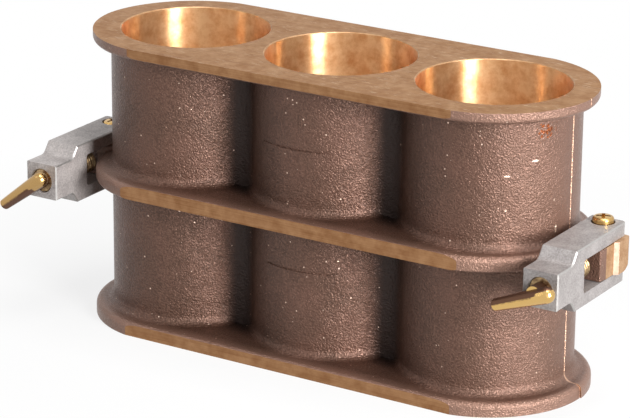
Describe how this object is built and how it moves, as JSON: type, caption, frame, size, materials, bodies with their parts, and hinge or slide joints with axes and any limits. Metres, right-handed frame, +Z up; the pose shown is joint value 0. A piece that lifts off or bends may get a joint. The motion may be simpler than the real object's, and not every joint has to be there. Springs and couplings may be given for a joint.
{
  "type": "cylinder mould",
  "caption": "Split gang mould for cast cylinders, with a row of through bores between two flanged halves that hinged end yokes with clamp screws hold shut.",
  "frame": {"origin": "on the axis of the middle bore, in the plane of the base", "axes": "+X along the row of bores, +Y from the front half towards the back half, +Z up along the bores"},
  "size_m": [0.2133, 0.078, 0.1016],
  "materials": {
    "cast_bronze": "as-cast bronze, machined on the bores, top face and flange edges",
    "cast_aluminium": "tumbled casting",
    "turned_brass": "turned and polished",
    "dowel_steel": "ground"
  },
  "bodies": {
    "back_half": {"back_half": "cast_bronze", "locating_dowels": "dowel_steel"},
    "front_half": {"front_half": "cast_bronze"},
    "right_yoke": {"right_yoke": "cast_aluminium", "right_pivot_screw": "turned_brass"},
    "left_yoke": {"left_yoke": "cast_aluminium", "left_pivot_screw": "turned_brass"},
    "right_clamp_screw": {"right_clamp_screw": "turned_brass"},
    "left_clamp_screw": {"left_clamp_screw": "turned_brass"},
    "right_clamp_handle": {"right_clamp_handle": "turned_brass"},
    "left_clamp_handle": {"left_clamp_handle": "turned_brass"}
  },
  "joints": [
    {"name": "front_half_slide", "type": "slide", "parent": "back_half", "child": "front_half", "axis": [0, -1, 0], "range_m": [0, 0.0045]},
    {"name": "right_yoke_hinge", "type": "hinge", "parent": "back_half", "child": "right_yoke", "pos_m": [0.0958, 0.0046, 0.0501], "axis": [0, 0, 1], "range_deg": [0, 170]},
    {"name": "right_screw_slide", "type": "slide", "parent": "right_yoke", "child": "right_clamp_screw", "axis": [0, -1, 0], "range_m": [0, 0.0045]},
    {"name": "right_handle_turn", "type": "hinge", "parent": "right_clamp_screw", "child": "right_clamp_handle", "pos_m": [0.0958, -0.0372, 0.0501], "axis": [0, -1, 0], "range_deg": [0, 1297]},
    {"name": "left_yoke_hinge", "type": "hinge", "parent": "back_half", "child": "left_yoke", "pos_m": [-0.0958, 0.0046, 0.0501], "axis": [0, 0, -1], "range_deg": [0, 170]},
    {"name": "left_screw_slide", "type": "slide", "parent": "left_yoke", "child": "left_clamp_screw", "axis": [0, -1, 0], "range_m": [0, 0.0045]},
    {"name": "left_handle_turn", "type": "hinge", "parent": "left_clamp_screw", "child": "left_clamp_handle", "pos_m": [-0.0958, -0.0372, 0.0501], "axis": [0, -1, 0], "range_deg": [0, 1297]}
  ],
  "couplings": [
    {"joint": "right_screw_slide", "follows": "front_half_slide", "ratio": 1},
    {"joint": "right_handle_turn", "follows": "front_half_slide", "rad_per_m": 5026.5},
    {"joint": "left_screw_slide", "follows": "front_half_slide", "ratio": 1},
    {"joint": "left_handle_turn", "follows": "front_half_slide", "rad_per_m": 5026.5}
  ]
}
